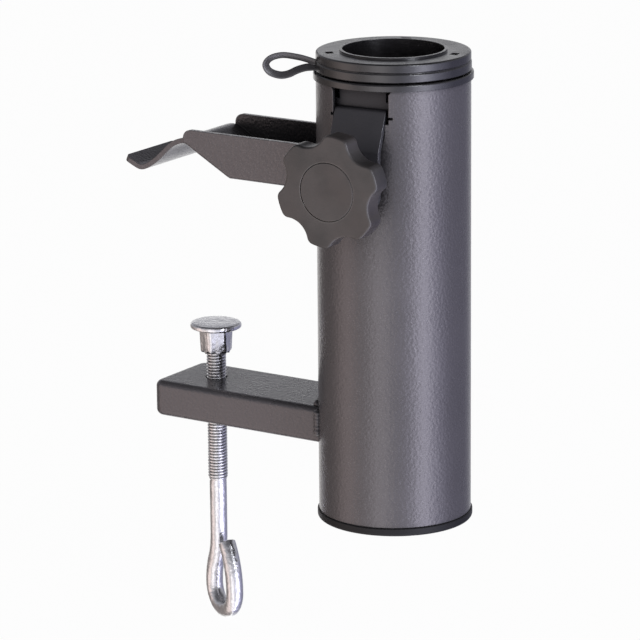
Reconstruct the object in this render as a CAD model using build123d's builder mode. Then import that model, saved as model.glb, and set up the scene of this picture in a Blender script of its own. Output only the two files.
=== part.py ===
"""Balcony-rail clamp socket for a parasol pole.

Millimetres, +Z up.  The socket tube stands on the Z axis with its bottom cap on z = 0.
The two arms reach towards -X and grip the rail between them.  The slot with the lever
and star knob that clamp the pole faces -Y, turned a few degrees towards +X.
"""
from build123d import *
from math import atan2, cos, degrees, radians, sin, sqrt, tan
import os

os.makedirs("parts", exist_ok=True)

# ---- driving dimensions -------------------------------------------------------------
TUBE_R = 30.0                    # 60 mm socket tube
TUBE_WALL = 1.5
TUBE_TOP = 177.6
CAP_T = 3.3                      # flange of the bottom cap, below the tube
POLE_BORE_R = 19.75              # bore of the small reducer, for a 38 mm pole
LARGE_BORE_R = 24.25             # bore of the large reducer, for a 48 mm pole
SHEET = 2.0                      # sheet of both arms
LEVER_T = 1.8                    # sheet of the clamp lever
M8_R = 4.0                       # thread outside radius
M8_BORE_R = 4.05                 # running bore of a nut on that thread
M8_NUT_FLATS = 13.0
RUN_GAP = 0.08                   # radial gap where one part turns in another
OVERSHOOT = 1.0                  # how far a cut runs past the face it opens
EDGE_BREAK = 0.4                 # rounding of a crisp moulded or machined edge

TUBE_INNER_R = TUBE_R - TUBE_WALL

# ---- levels of the collar on top of the tube ----------------------------------------
BUSHING_TOP = 178.8
BUSHING_SKIRT_BOTTOM = 176.1
LARGE_FLANGE_BOTTOM = 179.1
LARGE_FLANGE_TOP = 182.9
SMALL_FLANGE_TOP = 186.5
SMALL_LIP_TOP = 187.3
SLEEVE_BOTTOM = 158.0            # lower end of all three sleeves inside the tube
SLEEVE_GAP = 0.15                # gap between one sleeve and the next
SLEEVE_WALL = 1.3

# ---- hook arm -----------------------------------------------------------------------
HOOK_WEB_Z = 131.9               # underside of the web, which lies on the rail
HOOK_FLANGE_TOP = 149.6
HOOK_HALF = 19.4
HOOK_BEND_X = -64.6
HOOK_RIDGE = (-87.0, 145.4)
HOOK_FLANGE_END_X = -86.0
LIP_HALF = 17.0

# ---- clamp arm ----------------------------------------------------------------------
ARM_BOTTOM = 29.6
ARM_TOP = 44.1
ARM_HALF = 17.9
ARM_END_X = -104.3
ARM_CORNER_R = 4.5
ARM_EDGE_R = 2.5
ARM_WALL = 1.5
SCREW_X = -85.0
SCREW_HOLE_GAP = 0.5

# ---- clamp screw and pressure foot ----------------------------------------------------
FOOT_TOP = 67.1
FOOT_R = 10.4
FOOT_PLATE_BOTTOM = 65.0
FOOT_SOCKET_BOTTOM = 54.75
FOOT_SOCKET_FLATS = 11.4         # at its lower end
THREAD_END = 0.75
SHANK_R = 3.5
EYE_NECK_Z = -22.0
EYE_R = 9.4                      # centreline radius of the eye
EYE_CENTRE = (4.6, -43.7)        # in the eye's plane: across, up
EYE_YAW = -29.5                  # degrees the eye's plane is turned from +X

# ---- clamp lever and knob: distances are from the tube's axis, out of the slot --------
CLAMP_TURN = 4.0                 # degrees the slot is turned from -Y towards +X
PIVOT_OUT = 24.9                 # ears of the lever roll on the inside of the tube here
PIVOT_Z = 169.9
EAR_HALF = 13.2
EAR_H = 2.4
TONGUE_HALF = 10.0               # upper leg of the lever, between its ears and its lip
LIP_IN = 20.3                    # end of the lip that presses on the pole
LEVER_TOP = 177.0
LEDGE_Z = 168.6                  # top of the step between the upper and lower legs
LEVER_HALF = 10.95
SLOPE_TOP_OUT = 26.0             # middle of the sheet where the slope starts
LEVER_FOOT_OUT = 33.0            # outer face of the upright lower leg
LEVER_BOTTOM = 131.5
LEVER_SLOPE = 22.4               # degrees from vertical, between the two legs
LEVER_BEND_R = 0.95
WINDOW_HALF = 11.85
WINDOW_SHIFT = 0.5               # the lever sits this far off the middle of its window
WINDOW_BOTTOM = 163.3
WINDOW_FLARE = 2.0               # the window widens this much each side, at the tube's end
WINDOW_FLARE_H = 2.9
SLOT_HALF = 11.05                # round-ended slot below the window, hidden by the lever
SLOT_ROUND_Z = 160.5
SLIT_HALF = 13.3                 # thin slits cut sideways from the window
SLIT_Z = 165.6
SLIT_H = 1.0
KNOB_Z = 141.2
KNOB_FRONT_OUT = 53.8
KNOB_T = 9.0
KNOB_LOBES = 6
KNOB_R = 21.9                    # over the lobes
KNOB_VALLEY_R = 18.0             # at the bottom of each scallop
KNOB_SCALLOP_R = 8.9
KNOB_CORNER_R = 3.0
KNOB_FIRST_LOBE = 19.5           # degrees from level, seen from the front
KNOB_FRONT_EDGE_R = 0.9
KNOB_BACK_EDGE_R = 1.2
KNOB_CAP_R = 11.3

clamp_turn = radians(CLAMP_TURN)
out_x = sin(clamp_turn)
out_y = -cos(clamp_turn)


def facing_slot(distance, height=0.0):
    """A plane that looks out of the slot, at a distance from the tube's axis."""
    return Plane(
        origin=(distance * out_x, distance * out_y, height),
        x_dir=(-out_y, out_x, 0),
        z_dir=(out_x, out_y, 0),
    )


def ring(outer_r, inner_r, z_low, z_high):
    """A plain ring about the Z axis, added inside a builder."""
    with BuildSketch(Plane.XY.offset(z_low)) as section:
        Circle(outer_r)
        Circle(inner_r, mode=Mode.SUBTRACT)
    extrude(section.sketch, amount=z_high - z_low)


def save(builder, name):
    """Label the finished sub-part and write its STEP file."""
    builder.part.label = name
    export_step(builder.part, f"parts/{name}.step")


# ---- socket tube: open slot for the clamp lever ------------------------------------------
window_end_z = TUBE_TOP + OVERSHOOT
flare_z = TUBE_TOP - WINDOW_FLARE_H
flare_half = WINDOW_HALF + WINDOW_FLARE * (WINDOW_FLARE_H + OVERSHOOT) / WINDOW_FLARE_H

with BuildPart() as socket_tube:
    ring(TUBE_R, TUBE_INNER_R, CAP_T, TUBE_TOP)
    with BuildSketch(facing_slot(0)):
        with BuildLine():
            Polyline(
                (WINDOW_SHIFT - WINDOW_HALF, WINDOW_BOTTOM),
                (WINDOW_SHIFT + WINDOW_HALF, WINDOW_BOTTOM),
                (WINDOW_SHIFT + WINDOW_HALF, flare_z),
                (WINDOW_SHIFT + flare_half, window_end_z),
                (WINDOW_SHIFT - flare_half, window_end_z),
                (WINDOW_SHIFT - WINDOW_HALF, flare_z),
                close=True,
            )
        make_face()
        with Locations((WINDOW_SHIFT, SLIT_Z)):
            Rectangle(2 * SLIT_HALF, SLIT_H)
        with Locations((0, SLOT_ROUND_Z)):
            Circle(SLOT_HALF)
        with Locations((0, (SLOT_ROUND_Z + WINDOW_BOTTOM) / 2)):
            Rectangle(2 * SLOT_HALF, WINDOW_BOTTOM - SLOT_ROUND_Z)
    extrude(amount=TUBE_R + OVERSHOOT, mode=Mode.SUBTRACT)
save(socket_tube, "socket_tube")

# ---- bottom cap: rounded flange, plug skirt with ribs -----------------------------------
CAP_LIP_R = 30.6
PLUG_R = TUBE_INNER_R - 0.1
PLUG_WALL = 1.6
PLUG_TOP = 17.0
PLUG_RIB_H = 4.0                 # cross of ribs inside the plug
PLUG_LEAD_IN = 0.8
CAP_EDGE_R = 1.2

with BuildPart() as bottom_cap:
    with BuildSketch(Plane.XY):
        Circle(CAP_LIP_R)
    extrude(amount=CAP_T)
    fillet(edges().group_by(Axis.Z)[0], CAP_EDGE_R)
    fillet(edges().group_by(Axis.Z)[-1], EDGE_BREAK)
    ring(PLUG_R, PLUG_R - PLUG_WALL, CAP_T / 2, PLUG_TOP)
    with BuildSketch(Plane.XY.offset(CAP_T)):
        for angle in (0, 90):
            with Locations(Rotation(0, 0, angle)):
                Rectangle(2 * PLUG_R - PLUG_WALL, PLUG_WALL)
    extrude(amount=PLUG_RIB_H)
    plug_rim = edges().group_by(Axis.Z)[-1].filter_by(GeomType.CIRCLE)
    chamfer(plug_rim.sort_by(SortBy.RADIUS)[-1], PLUG_LEAD_IN)
save(bottom_cap, "bottom_cap")


# ---- collar: bushing over the tube end, two nested pole reducers -------------------------
SLEEVE_CUT_HALF = 17.6           # the sleeves are cut away this far each side of the lever
SLEEVE_CUT_IN = 8.0              # and in to this distance from the axis


def sleeve_cutout(z_high):
    """Clear the front of a sleeve so that the lever can reach the pole."""
    z_low = SLEEVE_BOTTOM - OVERSHOOT
    with BuildSketch(facing_slot(SLEEVE_CUT_IN)) as cutout:
        with Locations((0, (z_low + z_high) / 2)):
            Rectangle(2 * SLEEVE_CUT_HALF, z_high - z_low)
    extrude(cutout.sketch, amount=TUBE_R, mode=Mode.SUBTRACT)


def reducer_sleeve(outer_r, bore_r, z_high, ribs):
    """A thin sleeve round the bore, with ribs that fill out to the outer radius."""
    ring(bore_r + SLEEVE_WALL, bore_r, SLEEVE_BOTTOM, z_high)
    with BuildSketch(Plane.XY.offset(SLEEVE_BOTTOM)) as rib_section:
        with PolarLocations((bore_r + outer_r) / 2, ribs, 360 / (2 * ribs)):
            Rectangle(outer_r - bore_r, SLEEVE_WALL)
        Circle(bore_r + SLEEVE_WALL / 2, mode=Mode.SUBTRACT)
    extrude(rib_section.sketch, amount=z_high - SLEEVE_BOTTOM)


BUSHING_R = 31.0
BUSHING_SLEEVE_R = TUBE_INNER_R - 0.1
BUSHING_BORE_R = BUSHING_SLEEVE_R - SLEEVE_WALL
BUSHING_EDGE_R = 0.6

with BuildPart() as top_bushing:
    ring(BUSHING_R, BUSHING_BORE_R, BUSHING_SKIRT_BOTTOM, BUSHING_TOP)
    fillet(edges().group_by(Axis.Z)[-1].sort_by(SortBy.RADIUS)[-1], BUSHING_EDGE_R)
    with BuildSketch(Plane.XY.offset(BUSHING_SKIRT_BOTTOM)):
        Circle(TUBE_R + RUN_GAP)
        Circle(BUSHING_SLEEVE_R, mode=Mode.SUBTRACT)
    extrude(amount=TUBE_TOP - BUSHING_SKIRT_BOTTOM, mode=Mode.SUBTRACT)
    ring(BUSHING_SLEEVE_R, BUSHING_BORE_R, SLEEVE_BOTTOM, BUSHING_SKIRT_BOTTOM)
    sleeve_cutout(BUSHING_SKIRT_BOTTOM)
save(top_bushing, "top_bushing")

LARGE_FLANGE_R = 30.2
LARGE_SLEEVE_R = BUSHING_BORE_R - SLEEVE_GAP
FLANGE_EDGE_R = 0.7
SLEEVE_RIBS = 12

with BuildPart() as large_reducer:
    ring(LARGE_FLANGE_R, LARGE_BORE_R, LARGE_FLANGE_BOTTOM, LARGE_FLANGE_TOP)
    fillet(edges().filter_by(GeomType.CIRCLE).group_by(SortBy.RADIUS)[-1], FLANGE_EDGE_R)
    reducer_sleeve(LARGE_SLEEVE_R, LARGE_BORE_R, LARGE_FLANGE_BOTTOM, SLEEVE_RIBS)
    sleeve_cutout(LARGE_FLANGE_BOTTOM)
save(large_reducer, "large_reducer")

SMALL_FLANGE_R = 30.0
SMALL_SLEEVE_R = LARGE_BORE_R - SLEEVE_GAP
LIP_W = 1.1                      # width of the raised lip round the bore
POCKET_ANGLES = (12.0, 111.0, 223.0)
POCKET_R = 25.0
POCKET_W = 3.0
POCKET_L = 4.0
POCKET_DEPTH = 1.6

with BuildPart() as small_reducer:
    ring(SMALL_FLANGE_R, POLE_BORE_R, LARGE_FLANGE_TOP, SMALL_FLANGE_TOP)
    fillet(edges().filter_by(GeomType.CIRCLE).group_by(SortBy.RADIUS)[-1], FLANGE_EDGE_R)
    ring(POLE_BORE_R + LIP_W, POLE_BORE_R, SMALL_FLANGE_TOP, SMALL_LIP_TOP)
    reducer_sleeve(SMALL_SLEEVE_R, POLE_BORE_R, LARGE_FLANGE_TOP, SLEEVE_RIBS)
    sleeve_cutout(LARGE_FLANGE_BOTTOM)
    with BuildSketch(Plane.XY.offset(SMALL_FLANGE_TOP)):
        for angle in POCKET_ANGLES:
            with Locations(Rotation(0, 0, angle) * Location((POCKET_R, 0, 0))):
                Rectangle(POCKET_W, POCKET_L)
    extrude(amount=-POCKET_DEPTH, mode=Mode.SUBTRACT)
save(small_reducer, "small_reducer")

# ---- pull strap: a teardrop loop moulded to the flange of the large reducer --------------
STRAP_W = 3.4
STRAP_T = 1.2
STRAP_YAW = 213.2                # direction the loop points, seen from above
STRAP_Z = (LARGE_FLANGE_BOTTOM + LARGE_FLANGE_TOP) / 2
STRAP_ROOT_GAP = 0.8             # half the distance between the two strands at the root
STRAP_UPPER = ((7.2, 3.2), (12.7, 3.9))      # (reach from the flange, height)
STRAP_TIP = (18.6, 0.4)
STRAP_LOWER = ((12.4, -4.7), (6.7, -2.0))

strap_plane = Plane(
    origin=(0, 0, STRAP_Z),
    x_dir=(cos(radians(STRAP_YAW)), sin(radians(STRAP_YAW)), 0),
    z_dir=(sin(radians(STRAP_YAW)), -cos(radians(STRAP_YAW)), 0),
)
with BuildPart() as pull_strap:
    with BuildSketch(strap_plane):
        strap_root = LARGE_FLANGE_R - STRAP_T / 2
        with BuildLine():
            loop = (*STRAP_UPPER, STRAP_TIP, *STRAP_LOWER)
            Spline(
                (strap_root, STRAP_ROOT_GAP),
                *((LARGE_FLANGE_R + reach, height) for reach, height in loop),
                (strap_root, -STRAP_ROOT_GAP),
            )
        trace(line_width=STRAP_T)
    extrude(amount=STRAP_W / 2, both=True)
    with BuildSketch(Plane.XY.offset(LARGE_FLANGE_BOTTOM)):
        Circle(LARGE_FLANGE_R)
    extrude(amount=LARGE_FLANGE_TOP - LARGE_FLANGE_BOTTOM, mode=Mode.SUBTRACT)
save(pull_strap, "pull_strap")


# ---- hook arm: channel, ridge and curled lip bent from one sheet ------------------------
def cope_to_tube(z_low, z_high):
    """Cut the end of an arm back to the outside of the tube."""
    with BuildSketch(Plane.XY.offset(z_low)) as tube_section:
        Circle(TUBE_R)
    extrude(tube_section.sketch, amount=z_high - z_low, mode=Mode.SUBTRACT)


ARM_ROOT_X = -20.0               # arms are drawn from here, inside the tube, then coped
LIP_POINTS = ((-99.1, 136.9), (-107.4, 131.6), (-116.3, 134.6))
LIP_TIP_R = 2.5
RIDGE_SLOPE_END = 3.0            # straight slope stops this far short of the ridge
RIDGE_FALL = (-3.2, -1.6)        # from the ridge to the start of the lip's curve
HOOK_BEND_R = 4.0
FLANGE_CORNER_R = 3.5
HOOK_OUTER_R = 1.8               # rounding along the outside of the two long bends
half_sheet = SHEET / 2

with BuildPart() as hook_arm:
    with BuildSketch(Plane.XZ) as web_side:
        with BuildLine():
            web_z = HOOK_WEB_Z + half_sheet
            slope = atan2(HOOK_RIDGE[1] - web_z, HOOK_BEND_X - HOOK_RIDGE[0])
            ridge = (
                HOOK_RIDGE[0] + RIDGE_SLOPE_END * cos(slope),
                HOOK_RIDGE[1] - RIDGE_SLOPE_END * sin(slope),
            )
            FilletPolyline((ARM_ROOT_X, web_z), (HOOK_BEND_X, web_z), ridge, radius=HOOK_BEND_R)
            Spline(
                ridge,
                (HOOK_RIDGE[0] + RIDGE_FALL[0], HOOK_RIDGE[1] + RIDGE_FALL[1]),
                *LIP_POINTS,
                tangents=((-cos(slope), sin(slope)), (-0.9, 0.4)),
            )
        trace(line_width=SHEET)
    extrude(amount=HOOK_HALF, both=True)
    lip_trim_low = LIP_POINTS[1][1] - SHEET
    with BuildSketch(Plane.XY.offset(lip_trim_low)):
        lip_trim_w = HOOK_HALF + OVERSHOOT - LIP_HALF
        for side in (-1, 1):
            trim_middle_y = side * (LIP_HALF + lip_trim_w / 2)
            with Locations((HOOK_FLANGE_END_X + LIP_POINTS[-1][0] / 2, trim_middle_y)):
                Rectangle(-LIP_POINTS[-1][0], lip_trim_w)
    extrude(amount=HOOK_FLANGE_TOP - lip_trim_low, mode=Mode.SUBTRACT)
    for flange_back_y in (HOOK_HALF, SHEET - HOOK_HALF):
        with BuildSketch(Plane.XZ.offset(-flange_back_y)):
            with BuildLine():
                Polyline(
                    (ARM_ROOT_X, HOOK_WEB_Z),
                    (HOOK_BEND_X, HOOK_WEB_Z),
                    (HOOK_FLANGE_END_X, HOOK_RIDGE[1] + RIDGE_FALL[1]),
                    (HOOK_FLANGE_END_X, HOOK_FLANGE_TOP),
                    (ARM_ROOT_X, HOOK_FLANGE_TOP),
                    close=True,
                )
            make_face()
            flange_end = vertices().sort_by(Axis.X)[0:2]
            fillet(flange_end.sort_by(Axis.Y)[-1], FLANGE_CORNER_R)
        extrude(amount=SHEET)
    long_edges = edges().filter_by(lambda e: abs(e.tangent_at(0.5).X) > 0.7)
    outer_bends = long_edges.filter_by(
        lambda e: abs(abs(e.center().Y) - HOOK_HALF) < 0.01 and e.center().Z < HOOK_RIDGE[1] - SHEET
    )
    fillet(outer_bends, HOOK_OUTER_R)
    tip_corners = edges().filter_by(
        lambda e: e.center().X < LIP_POINTS[-1][0] + half_sheet and e.length < 1.5 * SHEET
    )
    fillet(tip_corners, LIP_TIP_R)
    cope_to_tube(HOOK_WEB_Z - OVERSHOOT, HOOK_FLANGE_TOP + OVERSHOOT)
save(hook_arm, "hook_arm")


# ---- clamp arm: flat rectangular tube with a closed, rounded end ---------------------------
with BuildPart() as clamp_arm:
    with BuildSketch(Plane.XY.offset(ARM_BOTTOM)):
        with Locations((ARM_END_X / 2, 0)):
            Rectangle(-ARM_END_X, 2 * ARM_HALF)
        fillet(vertices().group_by(Axis.X)[0], ARM_CORNER_R)
    extrude(amount=ARM_TOP - ARM_BOTTOM)
    for rim in (faces().sort_by(Axis.Z)[-1], faces().sort_by(Axis.Z)[0]):
        fillet(rim.edges().sort_by(Axis.X)[:-1], ARM_EDGE_R)
    with BuildSketch(Plane.XY.offset(ARM_BOTTOM + ARM_WALL)):
        with Locations(((ARM_END_X + ARM_WALL) / 2, 0)):
            Rectangle(-ARM_END_X - ARM_WALL, 2 * (ARM_HALF - ARM_WALL))
        fillet(vertices().group_by(Axis.X)[0], ARM_CORNER_R - ARM_WALL)
    extrude(amount=ARM_TOP - ARM_BOTTOM - 2 * ARM_WALL, mode=Mode.SUBTRACT)
    with BuildSketch(Plane.XY.offset(ARM_BOTTOM)):
        with Locations((SCREW_X, 0)):
            Circle(M8_R + SCREW_HOLE_GAP)
    extrude(amount=ARM_TOP - ARM_BOTTOM, mode=Mode.SUBTRACT)
    cope_to_tube(ARM_BOTTOM - OVERSHOOT, ARM_TOP + OVERSHOOT)
save(clamp_arm, "clamp_arm")


# ---- weld beads: one fillet over each web, one down each flange of each arm --------------
WELD = 2.2


def web_bead(half_width, z):
    """A triangular bead on top of a web, following the tube."""
    reach = degrees(atan2(half_width - WELD, sqrt(TUBE_R**2 - half_width**2)))
    start = radians(180 - reach)
    radial = Plane(
        origin=(0, 0, 0),
        x_dir=(cos(start), sin(start), 0),
        z_dir=(sin(start), -cos(start), 0),
    )
    with BuildSketch(radial) as bead:
        with BuildLine():
            Polyline((TUBE_R, z), (TUBE_R + WELD, z), (TUBE_R, z + WELD), close=True)
        make_face()
    revolve(bead.sketch, axis=Axis.Z, revolution_arc=2 * reach)


def flange_beads(half_width, z_low, z_high):
    """Upright beads in the corners between the tube and the outside of an arm."""
    corner_x = -sqrt(TUBE_R**2 - half_width**2)
    with BuildSketch(Plane.XY.offset(z_low)) as beads:
        for side in (-1, 1):
            with BuildLine():
                Polyline(
                    (corner_x + 1.5 * WELD, side * half_width),
                    (corner_x - WELD, side * half_width),
                    (corner_x + WELD, side * (half_width + WELD)),
                    close=True,
                )
            make_face()
        Circle(TUBE_R, mode=Mode.SUBTRACT)
    extrude(beads.sketch, amount=z_high - z_low)


with BuildPart() as hook_arm_welds:
    web_bead(HOOK_HALF - SHEET, HOOK_WEB_Z + SHEET)
    flange_beads(HOOK_HALF, HOOK_WEB_Z, HOOK_FLANGE_TOP)
save(hook_arm_welds, "hook_arm_welds")

with BuildPart() as clamp_arm_welds:
    web_bead(ARM_HALF - ARM_EDGE_R, ARM_TOP)
    flange_beads(ARM_HALF, ARM_BOTTOM + ARM_EDGE_R, ARM_TOP - ARM_EDGE_R)
save(clamp_arm_welds, "clamp_arm_welds")


# ---- nuts ---------------------------------------------------------------------------------
CLAMP_NUT_H = 6.5
LEVER_NUT_H = 4.0
NUT_CHAMFER = 0.4


def hex_nut(plane, height):
    """An M8 hexagon nut standing on the given plane."""
    with BuildSketch(plane) as outline:
        RegularPolygon(M8_NUT_FLATS / 2, 6, major_radius=False)
        Circle(M8_BORE_R, mode=Mode.SUBTRACT)
    extrude(outline.sketch, amount=height)
    chamfer(edges().filter_by(GeomType.CIRCLE), NUT_CHAMFER)


# welded under the top of the clamp arm
with BuildPart() as clamp_nut:
    hex_nut(Plane((SCREW_X, 0, ARM_TOP - ARM_WALL - CLAMP_NUT_H)), CLAMP_NUT_H)
save(clamp_nut, "clamp_nut")

# thin nut welded to the outside of the lever
with BuildPart() as lever_nut:
    hex_nut(facing_slot(LEVER_FOOT_OUT, KNOB_Z), LEVER_NUT_H)
save(lever_nut, "lever_nut")

# ---- clamp screw: threaded shank bent into an eye at its lower end -----------------------
TIP_NECK_R = 2.8
TIP_NECK_LOW = 57.3
TIP_NECK_HIGH = 58.5
TIP_R = 3.5
TIP_TOP = 62.6
TIP_ROUND = 1.5
THREAD_CHAMFER = 0.45

eye_plane = Plane(
    origin=(SCREW_X, 0, 0),
    x_dir=(cos(radians(EYE_YAW)), sin(radians(EYE_YAW)), 0),
    z_dir=(sin(radians(EYE_YAW)), -cos(radians(EYE_YAW)), 0),
)
EYE_END = (7.4, -24.3)
eye_left = (EYE_CENTRE[0] - EYE_R, EYE_CENTRE[1])
eye_low = (EYE_CENTRE[0], EYE_CENTRE[1] - EYE_R)
eye_right = (EYE_CENTRE[0] + EYE_R, EYE_CENTRE[1])
neck = (0, EYE_NECK_Z)
neck_middle = ((neck[0] + eye_left[0]) / 2, (neck[1] + eye_left[1]) / 2)


def leaving_upright(upright, other):
    """An arc between two points that is upright at the first one, inside a BuildLine."""
    across = other[0] - upright[0]
    radius = (across**2 + (other[1] - upright[1]) ** 2) / (2 * across)
    centre = Vector(upright[0] + radius, upright[1])
    to_chord = (Vector(*upright) + Vector(*other)) / 2 - centre
    middle = centre + to_chord.normalized() * abs(radius)
    ThreePointArc(upright, (middle.X, middle.Y), other)


with BuildPart() as clamp_screw:
    with BuildSketch(Plane((SCREW_X, 0, THREAD_END))):
        Circle(M8_R)
    extrude(amount=TIP_NECK_LOW - THREAD_END)
    chamfer(edges().group_by(Axis.Z)[0], THREAD_CHAMFER)
    with BuildSketch(Plane((SCREW_X, 0, TIP_NECK_LOW))):
        Circle(TIP_NECK_R)
    extrude(amount=TIP_NECK_HIGH - TIP_NECK_LOW)
    with BuildSketch(Plane((SCREW_X, 0, TIP_NECK_HIGH))):
        Circle(TIP_R)
    extrude(amount=TIP_TOP - TIP_NECK_HIGH)
    fillet(edges().group_by(Axis.Z)[-1], TIP_ROUND)
    with BuildLine(eye_plane) as eye_path:
        Line((0, THREAD_END + THREAD_CHAMFER), neck)
        leaving_upright(neck, neck_middle)
        leaving_upright(eye_left, neck_middle)
        ThreePointArc(eye_left, eye_low, eye_right)
        leaving_upright(eye_right, EYE_END)
    with BuildSketch(Plane((SCREW_X, 0, THREAD_END + THREAD_CHAMFER), z_dir=(0, 0, -1))):
        Circle(SHANK_R)
    sweep(path=eye_path.wires()[0])
save(clamp_screw, "clamp_screw")

# ---- pressure foot: round plate on a tapered hexagonal socket ----------------------------
FOOT_BORE_R = M8_R + RUN_GAP
FOOT_RIM_R = 0.9
FOOT_UNDER_R = 0.6
FOOT_SOCKET_TURN = 10.0          # degrees a corner of the socket is turned from +X
FOOT_SOCKET_TAPER = 3.0          # degrees the socket widens towards the plate
CLIP_GROOVE_R = 5.0
CLIP_T = 0.75
CLIP_GAP = 2.4                   # mouth of the snap ring
CLIP_Z = TIP_NECK_LOW + 0.2
CLIP_PLAY = 0.05

with BuildPart() as pressure_foot:
    with BuildSketch(Plane((SCREW_X, 0, FOOT_PLATE_BOTTOM))):
        Circle(FOOT_R)
    extrude(amount=FOOT_TOP - FOOT_PLATE_BOTTOM)
    fillet(edges().group_by(Axis.Z)[-1], FOOT_RIM_R)
    fillet(edges().group_by(Axis.Z)[0], FOOT_UNDER_R)
    with BuildSketch(Plane((SCREW_X, 0, FOOT_SOCKET_BOTTOM))):
        RegularPolygon(FOOT_SOCKET_FLATS / 2, 6, major_radius=False, rotation=FOOT_SOCKET_TURN)
    extrude(amount=FOOT_PLATE_BOTTOM - FOOT_SOCKET_BOTTOM + FOOT_UNDER_R, taper=-FOOT_SOCKET_TAPER)
    with BuildSketch(Plane((SCREW_X, 0, FOOT_SOCKET_BOTTOM))):
        Circle(FOOT_BORE_R)
    extrude(amount=TIP_TOP + 2 * RUN_GAP - FOOT_SOCKET_BOTTOM, mode=Mode.SUBTRACT)
    with BuildSketch(Plane((SCREW_X, 0, CLIP_Z))):
        Circle(CLIP_GROOVE_R + CLIP_PLAY)
    extrude(amount=CLIP_T + CLIP_PLAY, mode=Mode.SUBTRACT)
save(pressure_foot, "pressure_foot")

# ---- snap ring that holds the screw in the foot -------------------------------------------
with BuildPart() as foot_clip:
    with BuildSketch(Plane((SCREW_X, 0, CLIP_Z))):
        Circle(CLIP_GROOVE_R)
        Circle(TIP_NECK_R + RUN_GAP, mode=Mode.SUBTRACT)
        with Locations((CLIP_GROOVE_R, 0)):
            Rectangle(2 * CLIP_GROOVE_R, CLIP_GAP, mode=Mode.SUBTRACT)
    extrude(amount=CLIP_T)
save(foot_clip, "foot_clip")

# ---- clamp lever: stepped strip with two ears that bear behind the tube wall --------------
LEVER_CORNER_R = 4.0
BOLT_HOLE_GAP = 0.3
half_lever = LEVER_T / 2
upper_mid = PIVOT_OUT - half_lever
ledge_mid_z = LEDGE_Z - half_lever
foot_mid = LEVER_FOOT_OUT - half_lever
slope_bottom_z = ledge_mid_z - (foot_mid - SLOPE_TOP_OUT) / tan(radians(LEVER_SLOPE))
lever_side = Plane(origin=(0, 0, 0), x_dir=(out_x, out_y, 0), z_dir=(out_y, -out_x, 0))

with BuildPart() as clamp_lever:
    with BuildSketch(lever_side):
        with BuildLine():
            FilletPolyline(
                (LIP_IN, LEVER_TOP - half_lever),
                (upper_mid, LEVER_TOP - half_lever),
                (upper_mid, ledge_mid_z),
                (SLOPE_TOP_OUT, ledge_mid_z),
                (foot_mid, slope_bottom_z),
                (foot_mid, LEVER_BOTTOM),
                radius=LEVER_BEND_R,
            )
        trace(line_width=LEVER_T)
    extrude(amount=LEVER_HALF, both=True)
    bottom_corners = edges().group_by(Axis.Z)[0].filter_by(lambda e: e.length < 2 * LEVER_T)
    fillet(bottom_corners, LEVER_CORNER_R)
    upper_h = LEVER_TOP - LEDGE_Z + OVERSHOOT
    with BuildSketch(facing_slot(0)):
        for side in (-1, 1):
            with Locations((side * (TONGUE_HALF + LEVER_HALF), LEDGE_Z + upper_h / 2)):
                Rectangle(2 * LEVER_HALF, upper_h)
    extrude(amount=TUBE_R, mode=Mode.SUBTRACT)
    with BuildSketch(facing_slot(PIVOT_OUT)):
        with Locations((0, PIVOT_Z)):
            Rectangle(2 * EAR_HALF, EAR_H)
    extrude(amount=-LEVER_T)
    with BuildSketch(facing_slot(LEVER_FOOT_OUT, KNOB_Z)):
        Circle(M8_R + BOLT_HOLE_GAP)
    extrude(amount=-2 * LEVER_T, mode=Mode.SUBTRACT)
save(clamp_lever, "clamp_lever")

# ---- knob: lobed body, hexagon bolt moulded in, cap over the bolt head --------------------
BOLT_HEAD_H = 4.4
CAP_DISC_T = 1.2
CAP_GROOVE = 0.15                # gap round the cap
HEAD_POCKET_GAP = 0.05
KNOB_BACK_OUT = KNOB_FRONT_OUT - KNOB_T
SHOE_GAP = 0.2                   # to the tube, with the knob slack
SHOE_FACE_OUT = TUBE_R + SHOE_GAP
SHOE_T = 1.9

with BuildPart() as knob_body:
    with BuildSketch(facing_slot(KNOB_BACK_OUT, KNOB_Z)):
        Circle(KNOB_R)
        first_scallop = KNOB_FIRST_LOBE + 180 / KNOB_LOBES
        with PolarLocations(KNOB_VALLEY_R + KNOB_SCALLOP_R, KNOB_LOBES, first_scallop):
            Circle(KNOB_SCALLOP_R, mode=Mode.SUBTRACT)
        fillet(vertices(), KNOB_CORNER_R)
    extrude(amount=KNOB_T)
    fillet(faces().sort_by(Axis.Y)[0].edges(), KNOB_FRONT_EDGE_R)
    fillet(faces().sort_by(Axis.Y)[-1].edges(), KNOB_BACK_EDGE_R)
    with BuildSketch(facing_slot(KNOB_FRONT_OUT, KNOB_Z)):
        Circle(KNOB_CAP_R + CAP_GROOVE)
    extrude(amount=-CAP_DISC_T, mode=Mode.SUBTRACT)
    with BuildSketch(facing_slot(KNOB_FRONT_OUT - CAP_DISC_T, KNOB_Z)):
        RegularPolygon(M8_NUT_FLATS / 2 + HEAD_POCKET_GAP, 6, major_radius=False)
    extrude(amount=-BOLT_HEAD_H, mode=Mode.SUBTRACT)
    with BuildSketch(facing_slot(KNOB_FRONT_OUT, KNOB_Z)):
        Circle(M8_BORE_R)
    extrude(amount=-KNOB_T, mode=Mode.SUBTRACT)
save(knob_body, "knob_body")

with BuildPart() as knob_cap:
    with BuildSketch(facing_slot(KNOB_FRONT_OUT - CAP_DISC_T, KNOB_Z)):
        Circle(KNOB_CAP_R)
    extrude(amount=CAP_DISC_T)
    fillet(edges().group_by(Axis.Y)[0], EDGE_BREAK)
save(knob_cap, "knob_cap")

BOLT_END_OUT = SHOE_FACE_OUT + SHOE_T

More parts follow.
